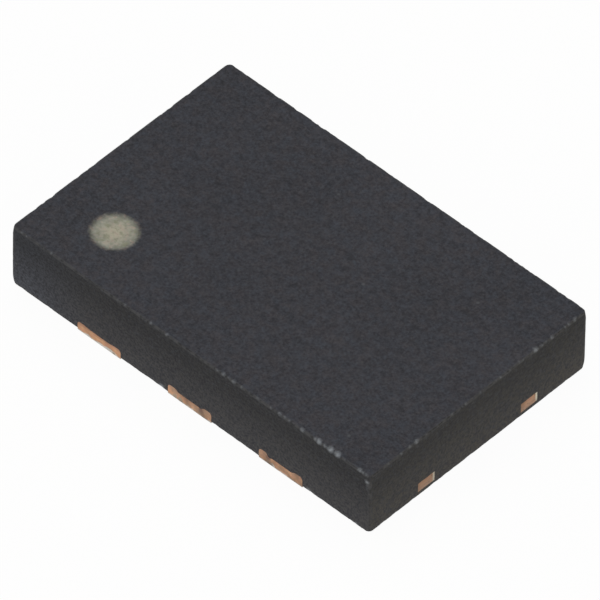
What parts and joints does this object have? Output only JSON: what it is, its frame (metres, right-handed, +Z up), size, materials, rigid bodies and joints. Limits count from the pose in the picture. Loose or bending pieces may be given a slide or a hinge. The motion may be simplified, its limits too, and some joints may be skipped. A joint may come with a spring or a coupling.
{
  "type": "programmable oscillator",
  "caption": "Programmable clock oscillator in a flat black moulded no-lead package with copper lands along both long sides, a round pin 1 mark and a stacked chip and resonator sealed inside.",
  "frame": {"origin": "under the middle of the package, on the plane of the board that the lands rest on", "axes": "+X along the long sides, +Y along the short sides, +Z up out of the board; lead 1 and the round mark are at -X, -Y"},
  "size_m": [0.005, 0.0032, 0.0009],
  "materials": {
    "mould": "fine matte black epoxy",
    "copper": "sawn copper alloy, matte tin on the lands",
    "adhesive": "silver-filled epoxy",
    "film": "amber adhesive film",
    "silicon": "polished silicon",
    "seal": "fired glass paste",
    "gold": "drawn gold wire"
  },
  "bodies": {
    "root": {"mould_body": "mould", "lead_1": "copper", "lead_2": "copper", "lead_3": "copper", "lead_4": "copper", "lead_5": "copper", "lead_6": "copper", "die_pad": "copper", "chip_adhesive": "adhesive", "clock_chip": "silicon", "stack_film": "film", "resonator_base": "silicon", "resonator_seal": "seal", "resonator_cap": "silicon", "lead_wire_1": "gold", "lead_wire_2": "gold", "lead_wire_3": "gold", "lead_wire_4": "gold", "lead_wire_5": "gold", "lead_wire_6": "gold", "ground_wire": "gold", "resonator_wire_1": "gold", "resonator_wire_2": "gold", "resonator_wire_3": "gold", "resonator_wire_4": "gold"}
  },
  "joints": []
}
